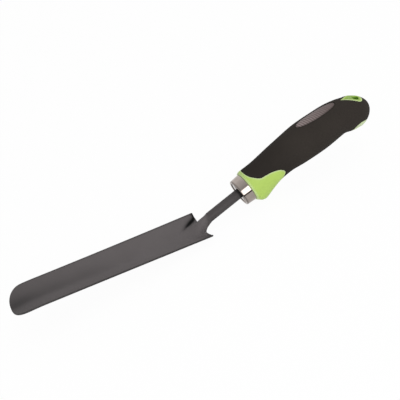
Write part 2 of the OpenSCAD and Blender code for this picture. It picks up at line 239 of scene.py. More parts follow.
def bladeOutline():
    # the +Y half of the plan, inside the edge radius: a quarter round, the tapering side, and powers of sine
    # and cosine for the tip; and where each cross line leaves the middle
    e, c = blade["edge"], blade["corner"]
    turn = np.linspace(0, math.pi / 2, 9)[1:]
    cornerX, cornerY = -c + (c - e) * np.cos(turn), blade["heel"] / 2 - c + (c - e) * np.sin(turn)
    sideX = -np.concatenate([np.linspace(2.0, blade["fineTo"], 80),
                             np.linspace(blade["fineTo"], blade["straight"], 100)[1:]])
    tipTurn = np.linspace(0, math.pi / 2, 60)[1:]
    tipX = -blade["straight"] - (blade["tipLength"] - e) * np.sin(tipTurn) ** blade["tipPower"]
    tipY = (blade["tip"] / 2 - e) * np.cos(tipTurn) ** blade["tipPower"]
    tipY[-1] = 0
    rimX, rimY = np.concatenate([cornerX, sideX, tipX]), np.concatenate([cornerY, bladeHalf(sideX) - e, tipY])
    middleX = np.maximum(rimX, -blade["straight"] - 2.0)  # the cross lines of the tip fan out from 2 mm in
    middleX[:len(turn)] = np.linspace(-e, -c - 0.3, len(turn))
    return rimX, rimY, middleX


def bladeEdge(px, py):
    # strips round the edge: out by the sine of each turn, and in from either face by one less its cosine
    tx, ty = np.roll(px, -1) - np.roll(px, 1), np.roll(py, -1) - np.roll(py, 1)
    size = np.hypot(tx, ty)
    nx, ny = ty / size, -tx / size
    bend = np.radians(blade["edgeTurns"])
    half = len(bend)
    out = np.concatenate([np.sin(bend), np.sin(bend[::-1])]) * blade["edge"]
    drop = (1 - np.cos(bend)) * blade["edge"]
    last = 2 * half - 1
    dip, fall = creaseDip(np.minimum(px, 0), py), tipFall(px)
    strips = []
    for k in range(2 * half):
        x, y = px + nx * out[k], py + ny * out[k]
        across = np.clip(y, -blade["heel"] / 2, blade["heel"] / 2)
        z = troughZ(across) - drop[k] if k < half else troughZ(across, blade["sheet"]) + drop[last - k]
        strips.append(np.stack([x, y, z - dip * (1 - k / last) - fall], -1))
    return strips


def paintedBladeShade(x, y, toRim):
    # painted shade: darker towards the tip, most along a streak beside the middle line, and in a thin
    # line inside the rim
    s = blade["paintedShading"]
    side = y - s["streakAt"]
    streak = bell(side, np.where(side > 0, s["streakFar"], s["streakNear"]))
    # painted shade towards the tip and along a streak beside the middle line
    paintedTipShade = s["tip"] * smoothStep(*s["tipAlong"], x) * (s["plain"] + s["streak"] * streak)
    paintedTipShade += s["end"] * smoothStep(*s["endAlong"], x) * (0.5 + 0.5 * bell(side, s["endWidth"]))
    return np.maximum(creaseShade(x, y), np.maximum(paintedTipShade, s["line"] * smoothStep(*s["lineWidth"], toRim)))


def buildBlade():
    # cross lines from rim to rim make the top and the under side, and strips join them round the edge
    e, c, rows = blade["edge"], blade["corner"], blade["rows"]
    rimX, rimY, middleX = bladeOutline()
    q = np.linspace(0, 1, rows)
    # the heel line first, then one line for each outline point, each from the middle to the rim
    gx = np.concatenate([np.full((1, rows), -e), middleX[:, None] + (rimX - middleX)[:, None] * q])
    gy = np.concatenate([((blade["heel"] / 2 - c) * q)[None], rimY[:, None] * q])
    full = np.concatenate([np.arange(rows - 1, 0, -1), np.arange(rows)])
    sign = np.concatenate([-np.ones(rows - 1), np.ones(rows)])
    x, y = gx[:, full], gy[:, full] * sign
    lines, columns = x.shape
    top = np.stack([x, y, troughZ(y) - creaseDip(x, y) - tipFall(x)], -1).reshape(-1, 3)
    under = np.stack([x, y, troughZ(y, blade["sheet"]) - tipFall(x)], -1).reshape(-1, 3)
    # the loop round the sheet: heel line, +Y rim to the tip, -Y rim back
    index = np.arange(lines * columns).reshape(lines, columns)
    loop = np.concatenate([index[0], index[1:, -1], index[-2:0:-1, 0]])
    px, py = top[loop, 0], top[loop, 1]
    strips = bladeEdge(px, py)
    n, count = len(top), len(loop)
    bands = [loop] + [2 * n + k * count + np.arange(count) for k in range(len(strips))] + [loop + n]
    topFaces = gridFaces(lines, columns, False)
    faces = np.concatenate([topFaces, topFaces[:, ::-1] + n]
                           + [bandFaces(a, b) for a, b in zip(bands[:-1], bands[1:])])
    # painted shade on the top, and on the edge strips a painted dark rim with the crease's painted shade;
    # none under the blade
    reach = np.concatenate([[blade["paintedShading"]["heelReach"]], np.hypot(rimX - middleX, rimY)])
    paintedTopShade = paintedBladeShade(top[:, 0], top[:, 1], ((1 - q[full]) * reach[:, None]).ravel())
    paintedEdgeShade = np.maximum(creaseShade(px, py), blade["paintedShading"]["rim"])
    paintedShading = np.concatenate([paintedTopShade, np.zeros(n), np.tile(paintedEdgeShade, len(strips))])
    points, faces, kept = weld(np.concatenate([top, under] + strips), faces)
    return makePiece("Blade", points, faces, paintedShading[kept], "blade")


bladePiece = buildBlade()
print("blade built", len(bladePiece.data.polygons))


# Stem: a round bar with a fan-shaped foot, which stands on the trough with a low skirt and steep flanks that
# turn into the bar behind the heel edge.
foot = {
    "length": 26.0, "neckLength": 5.4, "fan": 1.5, "sink": 0.05, "clear": 0.25, "neckShare": 0.995,
    "rearFrom": -2.2, "rearHalf": [[-1.1, 9.6], [0, 6.2], [1.1, 5.1], [2.4, 4.5], [4.0, 4.25]],
    "toe": [-20, 0.15], "rise": [[-12, 0.7], [-6, 1.0], [-1.5, 1.0], [0, 0.8]], "neckRise": 0.4,
    "overTrough": [[-20, 0.5], [-13, 2.2]],  # the crest, in mm over the trough
    "overAxis": [[-7, 0.55], [-2, 0.95]], "neckOver": 1.06,  # the crest, in bar radii over the bar's axis
    "toeHalf": 3.8, "crestHalf": [[-16, 7.2], [-8, 8.2], [-3, 5.4], [0, 4.5]],
    "lift": 7.5, "liftPower": 0.7, "skirtPower": 0.8, "flank": 12, "fillet": 2.4, "rim": 0.25,
    "bulge": 1.1, "bulgeLess": 0.55, "bulgeAlong": (-8, 0), "roundFrom": 2.0, "columns": 128,
    # painted shade on the bar, and a painted shadow where it goes into the ferrule
    "barStart": 1.5, "barEnd": 0.4, "barPaintedShade": 0.44, "barPaintedShadeAlong": (1.0, 7.0), "entryPaintedShadow": 0.85,
    "entryLength": 3.2}


def stemZ(x):
    # height of the bar's axis over the blade's plane: a straight line at the stem's angle
    return stemLine["rise"] - stemLine["sag"] + x * math.tan(stemLine["angle"])


def footWidth(x):
    # half width of the foot: the fan between the creases, then a curve that draws in to the bar
    start = foot["rearFrom"]
    knots = [[start, creaseLine(start) - foot["clear"]]] + foot["rearHalf"]
    knots += [[foot["neckLength"], stemLine["radius"] * foot["neckShare"]]]
    return np.where(x < start, creaseLine(x) - foot["clear"], curveThrough(knots, np.maximum(x, start)))


def footRings(v):
    # rings across the foot: a floor on the trough that lifts to the bar's belly, and over it the higher of a
    # skirt and a bulging ridge, filleted; behind the heel it turns into the bar
    r, length, neckEnd = stemLine["radius"], foot["length"], foot["neckLength"]
    x = np.concatenate([np.linspace(-length, -6, 70), np.linspace(-6, 0, 44)[1:],
                        np.linspace(0, neckEnd, 28)[1:]])
    y = footWidth(x)[:, None] * v
    riseKnots = [[-length, -foot["sink"]], foot["toe"]]
    riseKnots += [[at, foot["fan"] * share] for at, share in foot["rise"]]
    rise = curveThrough(riseKnots + [[neckEnd, foot["neckRise"]]], x)[:, None]
    crestKnots = [[-length, -blade["depth"] - foot["sink"]]]
    crestKnots += [[at, -blade["depth"] + over] for at, over in foot["overTrough"]]
    overAxis = foot["overAxis"] + [[neckEnd, foot["neckOver"]]]
    crestKnots += [[at, stemZ(at) + r * share] for at, share in overAxis]
    crest = curveThrough(crestKnots, x)[:, None]
    arc = r * np.sqrt(np.clip(1 - v ** 2, 0, 1))
    axis = stemZ(x)[:, None]
    lift = (np.clip(x / foot["lift"], 0, 1) ** foot["liftPower"])[:, None]
    floor = (troughZ(y) - foot["sink"]) * (1 - lift) + (axis - arc) * lift
    skirt = floor + rise * (1 - v ** 2) ** foot["skirtPower"]
    crestHalf = [[-length, foot["toeHalf"]]] + foot["crestHalf"] + [[neckEnd, r]]
    across = np.abs(y) / curveThrough(crestHalf, x)[:, None]
    power = foot["bulge"] - foot["bulgeLess"] * smoothStep(*foot["bulgeAlong"], x)
    bulge = (1 - np.minimum(across, 1) ** 2) ** power[:, None]
    tall = np.maximum(crest - skirt[:, len(v) // 2][:, None], 0)
    ridge = crest - tall * (1 - bulge) - np.maximum(across - 1, 0) * foot["flank"]
    soft = np.minimum(tall * 0.5, foot["fillet"]) + 1e-6
    top = np.maximum(skirt, ridge) + np.maximum(soft - np.abs(skirt - ridge), 0) ** 2 / (4 * soft)
    top = skirt + (top - skirt) * smoothStep(0, foot["rim"], 1 - np.abs(v))
    blend = smoothStep(foot["roundFrom"], neckEnd, x)[:, None]
    top = top * (1 - blend) + (axis + arc) * blend
    xx = np.repeat(x[:, None], len(v), 1)
    return np.concatenate([np.stack([xx, y, floor], -1), np.stack([xx, y, top], -1)[:, ::-1]], 1)


def barRings(v):
    # circles square to the axis, from just behind the neck to just before the collar
    r, angle = stemLine["radius"], stemLine["angle"]
    start = foot["neckLength"] / math.cos(angle) + foot["barStart"]
    along = np.linspace(start, collarAt - foot["barEnd"], 50)
    cosine = np.concatenate([v, v[::-1]])
    sine = np.concatenate([-np.sqrt(1 - v ** 2), np.sqrt(1 - v[::-1] ** 2)])
    x, y = np.meshgrid(along, cosine * r, indexing="ij")
    z = np.repeat(sine[None] * r, len(along), 0)
    return alongStem(np.stack([x, y, z], -1)) - [0, 0, stemLine["sag"]]


def buildStem():
    # one skin lofted over the rings of the foot and then of the bar
    v = -np.cos(np.linspace(0, math.pi, foot["columns"] // 2))
    points, faces = loft(np.concatenate([footRings(v), barRings(v)]))
    # painted shade in the crease and on the bar, and a painted shadow most where the bar goes
    # into the ferrule
    angle, show = stemLine["angle"], stemLine["show"]
    along = (points - [0, 0, stemLine["rise"]]) @ [math.cos(angle), 0, math.sin(angle)]
    entry = foot["entryPaintedShadow"] * smoothStep(show - foot["entryLength"], show, along)
    bar = foot["barPaintedShade"] * smoothStep(*foot["barPaintedShadeAlong"], points[:, 0])
    crease = creaseShade(points[:, 0], points[:, 1])
    paintedShading = np.where(points[:, 0] < 0, crease, np.maximum(bar, entry))
    return makePiece("Stem", points, faces, paintedShading, "stem")


stemPiece = buildStem()
print("stem built", len(stemPiece.data.polygons))


# Ferrule: a drawn cup turned about the stem's axis, with a rolled front edge and a dished face. The rows of
# its face go from the hole to the lip: depth, radius, and the painted reflection tone, dark above zero and
# bright below, on the +Y side and on the -Y side.
ferrule = {
    # painted reflection: a dark tone on the lip and on the side just behind it
    "front": 11.9, "rear": 12.5, "lip": 0.85, "lipPaintedReflection": 0.5, "paintedReflectionLength": 0.9,
    "dish": 1.7, "sideEnd": 0.25, "nearTone": (0.35, -0.35), "lipTurn": (math.pi * 0.85, math.pi * 0.6),
    "columns": 160,
    "floor": [[0.4, 4.65, 0.9, 0.9], [0.1, 4.8, 0.7, 0.8], [0, 5.1, 0.1, 0.7], [0, 5.6, -0.5, 0.7],
              [0, 6.6, -0.6, 0.6], [0, 8.6, -0.7, 0.2], [-0.1, 9.1, -0.9, 0.1],
              [-0.5, 9.5, -0.9, 0.1]],  # these depths are from the floor of the dish
    "wall": [[0.95, 9.58, 0.7, 0.1], [0.5, 9.75, 0.8, 0.1], [0.25, 9.95, 0.6, 0.1], [0.08, 10.3, 0, 0]],
    "tail": [[-0.05, -0.12], [0, -0.35], [0, -1.7]],  # from the rear edge
    "inside": [[8.0, 10.6], [3.4, 10.2], [3.2, 4.75]]}


def buildFerrule():
    # a closed profile of depth and radius, from the hole over face, lip and side to the inside, turned round
    f = ferrule
    face = np.array(f["floor"] + f["wall"])
    face[:len(f["floor"]), 0] += f["dish"]
    turn = np.linspace(math.pi, math.pi / 2, 14)
    lip = np.stack([f["lip"] + f["lip"] * np.cos(turn), f["front"] - f["lip"] + f["lip"] * np.sin(turn)], 1)
    side = np.linspace([f["lip"], f["front"]], [ferruleLength - f["sideEnd"], f["rear"]], 20)[1:]
    tail = np.array(f["tail"]) + [ferruleLength, f["rear"]]
    profile = np.concatenate([face[:, :2], lip, side, tail, f["inside"]])
    rows, columns = len(profile), f["columns"]
    a = np.arange(columns) * 2 * math.pi / columns
    depth, radius = np.repeat(profile[:, :1], columns, 1), profile[:, 1:]
    rings = np.stack([depth, radius * np.cos(a), radius * np.sin(a)], -1)
    first, last = np.arange(columns), (rows - 1) * columns + np.arange(columns)
    points = alongStem(rings.reshape(-1, 3) + [stemLine["show"], 0, 0])
    faces = np.concatenate([gridFaces(rows, columns, True), bandFaces(last, first)[:, ::-1]])
    # painted reflections: two tones on the face; the lip is painted darker outwards and the side clears
    # again behind it
    near = smoothStep(*f["nearTone"], np.cos(a))
    tone = np.zeros((rows, columns))
    tone[:len(face)] = face[:, 2:3] + (face[:, 3:] - face[:, 2:3]) * near
    tone[len(face):][:len(lip)] = f["lipPaintedReflection"] * smoothStep(*f["lipTurn"], turn)[:, None]
    behind = f["lipPaintedReflection"] * smoothStep(f["lip"] + f["paintedReflectionLength"], f["lip"], side[:, :1])
    tone[len(face) + len(lip):][:len(side)] = behind
    return makePiece("Ferrule", points, faces, tone.ravel(), "ferrule")


ferrulePiece = buildFerrule()
print("ferrule built", len(ferrulePiece.data.polygons))


# Handle: one skin of near-elliptic rings, cut along the edges of the green windows and the badge into core,
# sleeve and badge. s runs from the collar's front to the butt, z is up from the stem's axis.
handle = {
    "length": 128.3, "capAt": 112.0, "capPower": 1.85, "fall": 0.248, "collarEdge": 0.95, "sleeve": 1.6,
    "top": [[0, 13.6], [2.975, 14.8], [17, 14.8], [38, 16.095], [62.04, 17.4], [85.72, 14.79], [95, 13.224],
            [104.18, 11.04], [112, 7.9]],
    "bottom": [[0, 13.6], [1.19, 14.8], [4.505, 18.414], [8.5, 19.62], [17, 16.434], [26.35, 13.356],
               [38, 12.6], [52, 14.96], [74.12, 17], [90.36, 16.405], [95, 16.66], [103.5, 21.0],
               [112, 23.25]],
    "side": [[0, 13.6], [4.25, 13.6], [17, 13.396], [38, 14.31], [66, 15.9], [95, 15.805], [112, 13.897]],
    "guard": {
        "edge": [[2.2, 17.6], [3.2, 14.2], [6.8, 10.6], [11, 7.4], [16, 6.6], [22, 5.7], [28, 3.4],
                 [30.5, 0.8]],
        "lobe": [[31.3, -0.6], [31.5, -2], [31.25, -3.2], [30.7, -4.4], [29.5, -6.4], [27.9, -8.6],
                 [25.5, -13.5], [23, -19.8], [22.5, -24]],
        "front": -2},
    "patch": {"at": 109.2, "half": 10.6, "foot": -23.2, "height": 10.4, "low": -27},
    "drop": {"butt": 124.4, "length": 17.4, "half": 7.4, "widest": 0.32, "draw": (0.26, 1.1), "over": -9},
    "badge": {"at": 81.0, "half": 19.5, "side": 5.7, "power": 2.25, "sunk": 0.1, "thin": 0.4},
    "ease": {"black": 0.34, "green": 0.26, "between": (-0.14, 0.0, 0.1)}, "coreGap": 0.05, "columns": 184,
    # painted shade along the seams, on the grip near the guard, round the badge and in the dish and bore;
    # painted highlights along the green edges, on the collar's front and over the patch
    "paintedTones": {
        "seam": 0.6, "seamWidth": 0.5, "grip": 0.28, "gripAlong": (58, 18), "badge": 0.7, "badgeWidth": 0.9,
        "dish": 0.5, "dishWidth": 1.2, "edge": 0.65, "edgeWidth": 0.85, "collar": 0.4,
        "collarAlong": (2.2, 0.6), "patch": 0.75, "patchFrom": 90}}
hang = {
    "radius": 3.0, "at": 116.0, "depth": 9.4, "lean": math.radians(20), "edge": 0.7, "edgeCut": 0.2,
    "dish": 1.3, "dishWidth": 2.2, "lip": 0.8}
hang["axis"] = np.array([math.sin(hang["lean"]), 0, math.cos(hang["lean"])])
hang["side"] = np.array([math.cos(hang["lean"]), 0, -math.sin(hang["lean"])])
hang["middle"] = [hang["at"], 0, -hang["depth"]]
farOff = 9.0  # a distance that stands for nowhere near
splitMost = 6.0  # the most kept of a distance over the skin
splitColumn, boreColumn = 6, 7  # in the skin's table, after its place and normal


def handlePoint(s, a):
    # an ellipse at each s between the top, bottom and side curves; a quarter round draws in the collar's
    # edge, and past capAt the ellipse shrinks along a near circle
    at = np.minimum(s, handle["capAt"])
    inset = roundOff(s, handle["collarEdge"])
    top = curveThrough(handle["top"], at) - handle["fall"] * (s - at) - inset
    low = -curveThrough(handle["bottom"], at) + inset
    side = curveThrough(handle["side"], at) - inset
    past = np.clip((s - handle["capAt"]) / (handle["length"] - handle["capAt"]), 0, 1)
    k = (1 - past ** handle["capPower"]) ** (1 / handle["capPower"])
    return np.stack([s, side * k * np.cos(a), (top + low) / 2 + (top - low) / 2 * k * np.sin(a)], -1)


def insideDistance(outline, px, py):
    # distance to the nearest side of a closed outline, above zero inside, where a level line crosses an odd
    # count of sides
    a = outline[None]
    d = np.roll(a, -1, axis=1) - a
    p = np.stack([px, py], -1)[:, None]
    t = np.clip(((p - a) * d).sum(-1) / np.maximum((d * d).sum(-1), 1e-12), 0, 1)
    gap = np.linalg.norm(p - a - t[..., None] * d, axis=-1).min(1)
    straddles = (a[..., 1] > p[..., 1]) != (a[..., 1] + d[..., 1] > p[..., 1])
    slant = d[..., 0] / np.where(d[..., 1] == 0, 1, d[..., 1])
    crossings = (straddles & (p[..., 0] < a[..., 0] + slant * (p[..., 1] - a[..., 1]))).sum(1)
    return np.where(crossings % 2 == 1, gap, -gap)


def guardOutline():
    # side view: the upper edge falls from the top of the collar to a round lobe, then back under the guard
    g = handle["guard"]
    (first, high), low = g["edge"][0], g["lobe"][-1][1]
    s = np.linspace(first, g["edge"][-1][0], 60)
    upper = np.stack([s, curveThrough(g["edge"], s)], 1)
    return np.concatenate([[[g["front"], low], [g["front"], high]], upper, g["lobe"]])


def patchOutline():
    # side view: half an ellipse that stands on the under edge of the butt
    p = handle["patch"]
    a = np.linspace(0, math.pi, 40)
    arch = np.stack([p["at"] + p["half"] * np.cos(a), p["foot"] + p["height"] * np.sin(a)], 1)
    return np.concatenate([arch, [[p["at"] - p["half"], p["low"]], [p["at"] + p["half"], p["low"]]]])


def dropOutline():
    # plan view: a quarter ellipse at the butt, drawn out by a smooth step to a point towards the blade
    d = handle["drop"]
    t = (1 - np.cos(np.linspace(0, math.pi, 40))) / 2
    blunt = np.sqrt(1 - (1 - np.minimum(t / d["widest"], 1)) ** 2)
    half = d["half"] * blunt * (1 - smoothStep(*d["draw"], t)) / (1 - smoothStep(*d["draw"], d["widest"]))
    s = d["butt"] - d["length"] * t
    return np.concatenate([np.stack([s, half], 1), np.stack([s, -half], 1)[-2:0:-1]])


def badgeDistance(s, y):
    # plan view: one less the size of the oval through the point, over that size, times the half width
    b = handle["badge"]
    oval = (np.abs(s - b["at"]) / b["half"]) ** b["power"] + (np.abs(y) / b["side"]) ** b["power"]
    oval = oval ** (1 / b["power"])
    return (1 - oval) * b["side"] / np.maximum(oval, 0.3)


def sideEdges(faces):
    # the three directed edges of every triangle
    return np.concatenate([faces[:, [0, 1]], faces[:, [1, 2]], faces[:, [2, 0]]])


def rimEdges(faces):
    # directed edges that only one face uses
    e = sideEdges(faces)
    big = e.max() + 1
    return e[~np.isin(e[:, 0] * big + e[:, 1], e[:, 1] * big + e[:, 0])]


def cutAt(table, faces, which, level):
    # splits the triangles that cross a level of one column, at the share of an edge that its two values give
    n = len(table)
    above = table[:, which] > level
    edges = np.sort(sideEdges(faces), axis=1)
    edges = np.unique(edges[above[edges[:, 0]] != above[edges[:, 1]]], axis=0)
    v0, v1 = table[edges[:, 0], which], table[edges[:, 1], which]
    t = ((level - v0) / (v1 - v0))[:, None]
    fresh = table[edges[:, 0]] * (1 - t) + table[edges[:, 1]] * t
    key = edges[:, 0] * n + edges[:, 1]

    def freshOn(i, j):
        # number of the new row on the edge between two old ones
        return n + np.searchsorted(key, np.minimum(i, j) * n + np.maximum(i, j))

    count = above[faces].sum(1)
    done = [faces[count % 3 == 0]]
    for alone in (1, 2):
        f = faces[count == alone]
        lone = np.argmax(above[f] == (alone == 1), axis=1)
        row = np.arange(len(f))
        p, q, r = f[row, lone], f[row, (lone + 1) % 3], f[row, (lone + 2) % 3]
        m, k = freshOn(p, q), freshOn(p, r)
        done += [np.stack([p, m, k], 1), np.stack([m, q, r], 1), np.stack([m, r, k], 1)]
    return np.concatenate([table, fresh]), np.concatenate(done)


def acrossRound(grid):
    # half the step from the column before to the column after, round the closed grid
    return (np.roll(grid, -1, 1) - np.roll(grid, 1, 1)) / 2


def overSkin(value, alongS, alongA):
    # distance over the skin: the distance in the side or plan view over its slope in the grid's own metric
    g = value.reshape(alongS.shape[:2])
    ds, da = np.gradient(g, axis=0), acrossRound(g)
    e, f, h = (alongS ** 2).sum(-1), (alongS * alongA).sum(-1), (alongA ** 2).sum(-1)
    steep = np.maximum(h * ds ** 2 - 2 * f * ds * da + e * da ** 2, 0) / np.maximum(e * h - f * f, 1e-9)
    return (g / np.clip(np.sqrt(steep), 0.3, 1.2)).ravel()


def handleSkin():
    # rings of handlePoint, with normals and distances from the edges of windows, badge and hang hole, then
    # cut where an edge or its easing begins
    cap = handle["length"] - handle["capAt"]
    s = np.concatenate([handle["collarEdge"] * (1 - np.cos(np.linspace(0, math.pi / 2, 7))),
                        np.linspace(1.2, 36, 86), np.linspace(36, 106, 110)[1:],
                        np.linspace(106, handle["capAt"], 14)[1:],
                        handle["capAt"] + cap * np.sin(np.linspace(0, math.pi / 2, 40))[1:-1]])
    rows, columns = len(s), handle["columns"]
    points = handlePoint(*np.meshgrid(s, np.arange(columns) * 2 * math.pi / columns, indexing="ij"))
    alongS, alongA = np.gradient(points, axis=0), acrossRound(points)
    normal = np.cross(alongA, alongS)
    normal /= np.linalg.norm(normal, axis=-1, keepdims=True)
    flat = points.reshape(-1, 3)
    s, y, z = flat.T
    drop = np.where(z > handle["drop"]["over"], insideDistance(dropOutline(), s, y), -farOff)
    green = np.maximum(insideDistance(guardOutline(), s, z), insideDistance(patchOutline(), s, z))
    green = np.maximum(green, drop)
    badge = np.where(z > 0, badgeDistance(s, y), -farOff)
    split = np.maximum(overSkin(green, alongS, alongA), overSkin(badge, alongS, alongA))
    off = flat - hang["middle"]
    bore = np.linalg.norm(off - (off @ hang["axis"])[:, None] * hang["axis"], axis=1)
    split = np.clip(split, -splitMost, splitMost)
    table = np.column_stack([flat, normal.reshape(-1, 3), split, bore, green, badge, drop])
    # the end of the butt, which is black, and the collar's flat front, which is green
    butt = handlePoint(handle["length"], 0.0)
    tail = [*butt, 1, 0, 0, -splitMost, farOff, -farOff, -farOff, -farOff]
    front = [0, 0, 0, -1, 0, 0, splitMost, farOff, farOff, -farOff, -farOff]
    n = len(table)
    faces = np.concatenate([gridFaces(rows, columns, True), fanFaces(np.arange(n - columns, n), n, False),
                            fanFaces(np.arange(columns), n + 1, True)])
    table = np.vstack([table, tail, front])
    for level in (-handle["ease"]["black"], *handle["ease"]["between"], handle["ease"]["green"]):
        table, faces = cutAt(table, faces, splitColumn, level)
    for wider in (0.0, hang["edgeCut"], hang["edge"]):
        table, faces = cutAt(table, faces, boreColumn, hang["radius"] + wider)
    return table, faces


def roundOff(distance, radius):
    # how far a rounded edge lies below the skin at a distance from the edge: the radius less its circle
    t = np.clip(radius - np.abs(distance), 0, radius)
    return radius - np.sqrt(radius ** 2 - t ** 2)


def wallFaces(rim, deeper):
    # two triangles for each rim edge, down to the points that stand deeper places later in the list
    a, b = rim[:, 0], rim[:, 1]
    return np.concatenate([np.stack([a, a + deeper, b], 1), np.stack([b, a + deeper, b + deeper], 1)])


def usedOnly(points, faces):
    # drops the points that no face uses
    used, back = np.unique(faces, return_inverse=True)
    return points[used], back.reshape(-1, 3), used


def shellOf(outer, inner, faces):
    # closes a patch of skin with its inner side and a wall along its rim
    n = len(outer)
    allFaces = np.concatenate([faces, faces[:, ::-1] + n, wallFaces(rimEdges(faces), n)])
    return usedOnly(np.concatenate([outer, inner]), allFaces)


def boreFaces(points, faces):
    # the wall of the hang hole: by angle round its axis, each rim point joins the one before it and the last
    # one passed on the other rim
    loops = rimEdges(faces)[:, 0]
    off = points[loops] - hang["middle"]
    high = (off @ hang["axis"]) > 0
    angle = np.arctan2(off[:, 1], off @ hang["side"])
    upAngle, downAngle = np.sort(angle[high]), np.sort(angle[~high])
    up, down = loops[high][np.argsort(angle[high])], loops[~high][np.argsort(angle[~high])]
    facing = down[np.searchsorted(downAngle, upAngle) - 1]
    opposite = up[np.searchsorted(upAngle, downAngle, side="right") - 1]
    return np.concatenate([np.stack([up, facing, np.roll(up, 1)], 1),
                           np.stack([down, np.roll(down, 1), opposite], 1)])


def corePaintedShading(points, split, bore, drop):
    # painted shade in the dish and the bore, painted highlights along the edges, on the collar's front and
    # over the patch
    t = handle["paintedTones"]
    inDish = t["dish"] * smoothStep(hang["lip"], hang["lip"] + t["dishWidth"], drop)
    collar = t["collar"] * smoothStep(*t["collarAlong"], points[:, 0])
    paintedLight = np.maximum(t["edge"] * bell(split, t["edgeWidth"]), collar)
    paintedLight = np.where((points[:, 0] > t["patchFrom"]) & (points[:, 2] < 0), t["patch"], paintedLight)
    return np.where(np.abs(bore - hang["radius"]) < 0.01, 1.0, inDish - paintedLight * (inDish < 0.05))


def buildHandle():
    # the skin parted by colour: sleeve and badge are shells with eased edges; the core has the skin where
    # green shows, a deeper skin elsewhere and a wall between
    table, faces = handleSkin()
    points, normal = table[:, :3], table[:, 3:6]
    split, bore, drop = table[:, [splitColumn, boreColumn, -1]].T
    normal = normal / np.linalg.norm(normal, axis=1, keepdims=True)
    faceSplit, faceBore, faceGreen, faceBadge = table[faces].mean(1)[:, splitColumn:-1].T
    shows = faceSplit > 0
    isBadge = shows & (faceBadge > faceGreen)
    isGreen = shows & ~isBadge
    pierced = faceBore < hang["radius"]
    ease, paintedTones = handle["ease"], handle["paintedTones"]
    greenEase = roundOff(split, ease["green"])
    dish = hang["dish"] * smoothStep(hang["lip"], hang["lip"] + hang["dishWidth"], drop)
    chamfer = roundOff(np.maximum(bore - hang["radius"], 0), hang["edge"])
    blackSkin = points - normal * roundOff(split, ease["black"])[:, None]
    greenSkin = points - normal * (greenEase + dish + chamfer)[:, None]
    badgeSkin = points - normal * (handle["badge"]["sunk"] + greenEase)[:, None]
    deep = points - normal * handle["sleeve"]

    shell, shellFaces, used = shellOf(blackSkin, deep, faces[~shows])
    # painted shade along the seam with the green, and on the grip towards the guard
    grip = paintedTones["grip"] * smoothStep(*paintedTones["gripAlong"], points[:, 0])
    seam = paintedTones["seam"] * bell(split, paintedTones["seamWidth"])
    shade = np.tile(np.maximum(seam, grip), 2)[used]
    sleevePiece = makePiece("GripSleeve", alongHandle(shell), shellFaces, shade, "grip_sleeve")

    shell, shellFaces, used = shellOf(badgeSkin, deep + normal * handle["badge"]["thin"], faces[isBadge])
    # painted shade round the edge of the badge
    shade = np.tile(paintedTones["badge"] * bell(split, paintedTones["badgeWidth"]), 2)[used]
    badgePiece = makePiece("Badge", alongHandle(shell), shellFaces, shade, "badge")

    n = len(points)
    both = np.concatenate([greenSkin, deep - normal * handle["coreGap"]])
    coreFaces = np.concatenate([faces[isGreen & ~pierced], faces[~isGreen & ~pierced] + n,
                                wallFaces(rimEdges(faces[isGreen]), n)])
    coreFaces = np.concatenate([coreFaces, boreFaces(both, coreFaces)])
    core, coreFaces, used = usedOnly(both, coreFaces)
    shade = np.tile(corePaintedShading(points, split, bore, drop), 2)[used]
    corePiece = makePiece("HandleCore", alongHandle(core), coreFaces, shade, "handle_core")
    return corePiece, sleevePiece, badgePiece


corePiece, sleevePiece, badgePiece = buildHandle()
print("handle built", [len(piece.data.polygons) for piece in (corePiece, sleevePiece, badgePiece)])


# Finishes: one group gives speckle and cloud, the other paints shade and light into a colour by the
# tone on the points
# the deep and pale colours are those of painted shade and painted light: painted reflections on the plating,
# painted highlights on the lime; coat, grip and badge take only painted shade
coat = {
    "colour": (0.121, 0.109, 0.110), "vary": 0.09, "deep": (0.001, 0.001, 0.001), "paintedLight": (0.3, 0.3, 0.3),
    "scale": 1300.0, "cloudScale": 45.0, "cloud": 0.5, "rough": (0.42, 0.56), "bump": 0.25, "specular": 0.12}
plating = {
    "colour": (0.4, 0.347, 0.316), "vary": 0.1, "deep": (0.02, 0.02, 0.02), "paintedLight": (0.9, 0.9, 0.9),
    "scale": 500.0, "cloudScale": 120.0, "cloud": 0.9, "rough": (0.05, 0.09), "bump": 0.02, "metal": 1.0,
    "specular": 0.5}
lime = {
    "colour": (0.43, 0.6, 0.128), "vary": 0.03, "deep": (0.11, 0.27, 0.012), "paintedLight": (0.59, 0.665, 0.45),
    "scale": 900.0, "cloudScale": 70.0, "cloud": 0.8, "rough": (0.34, 0.42), "bump": 0.05, "specular": 0.16}
softGrip = {
    "colour": (0.034, 0.0285, 0.0245), "vary": 0.12, "deep": (0.002, 0.002, 0.002), "paintedLight": (0.2, 0.2, 0.2),
    "scale": 1500.0, "cloudScale": 50.0, "cloud": 0.5, "rough": (0.7, 0.84), "bump": 0.3, "specular": 0.06}
badgeGrey = {
    "colour": (0.122, 0.090, 0.086), "vary": 0.1, "deep": (0.03, 0.02, 0.018), "paintedLight": (0.4, 0.38, 0.37),
    "scale": 900.0, "cloudScale": 220.0, "cloud": 0.7, "rough": (0.4, 0.52), "bump": 0.15, "specular": 0.2,
    "ribs": {"colour": (0.42, 0.35, 0.345), "slant": math.radians(-8), "scale": 140.0, "bend": 1.6,
             "from": 0.1, "to": 0.137, "share": 0.6}}
bumpDepth = 0.0001


def newGroup(name, inputs, outputs):
    # an empty node group with its named sockets, and its input and output nodes
    group = bpy.data.node_groups.new(name, "ShaderNodeTree")
    for label, kind, value in inputs:
        group.interface.new_socket(label, in_out="INPUT", socket_type=kind).default_value = value
    for label, kind in outputs:
        group.interface.new_socket(label, in_out="OUTPUT", socket_type=kind)
    return group, group.nodes.new("NodeGroupInput"), group.nodes.new("NodeGroupOutput")


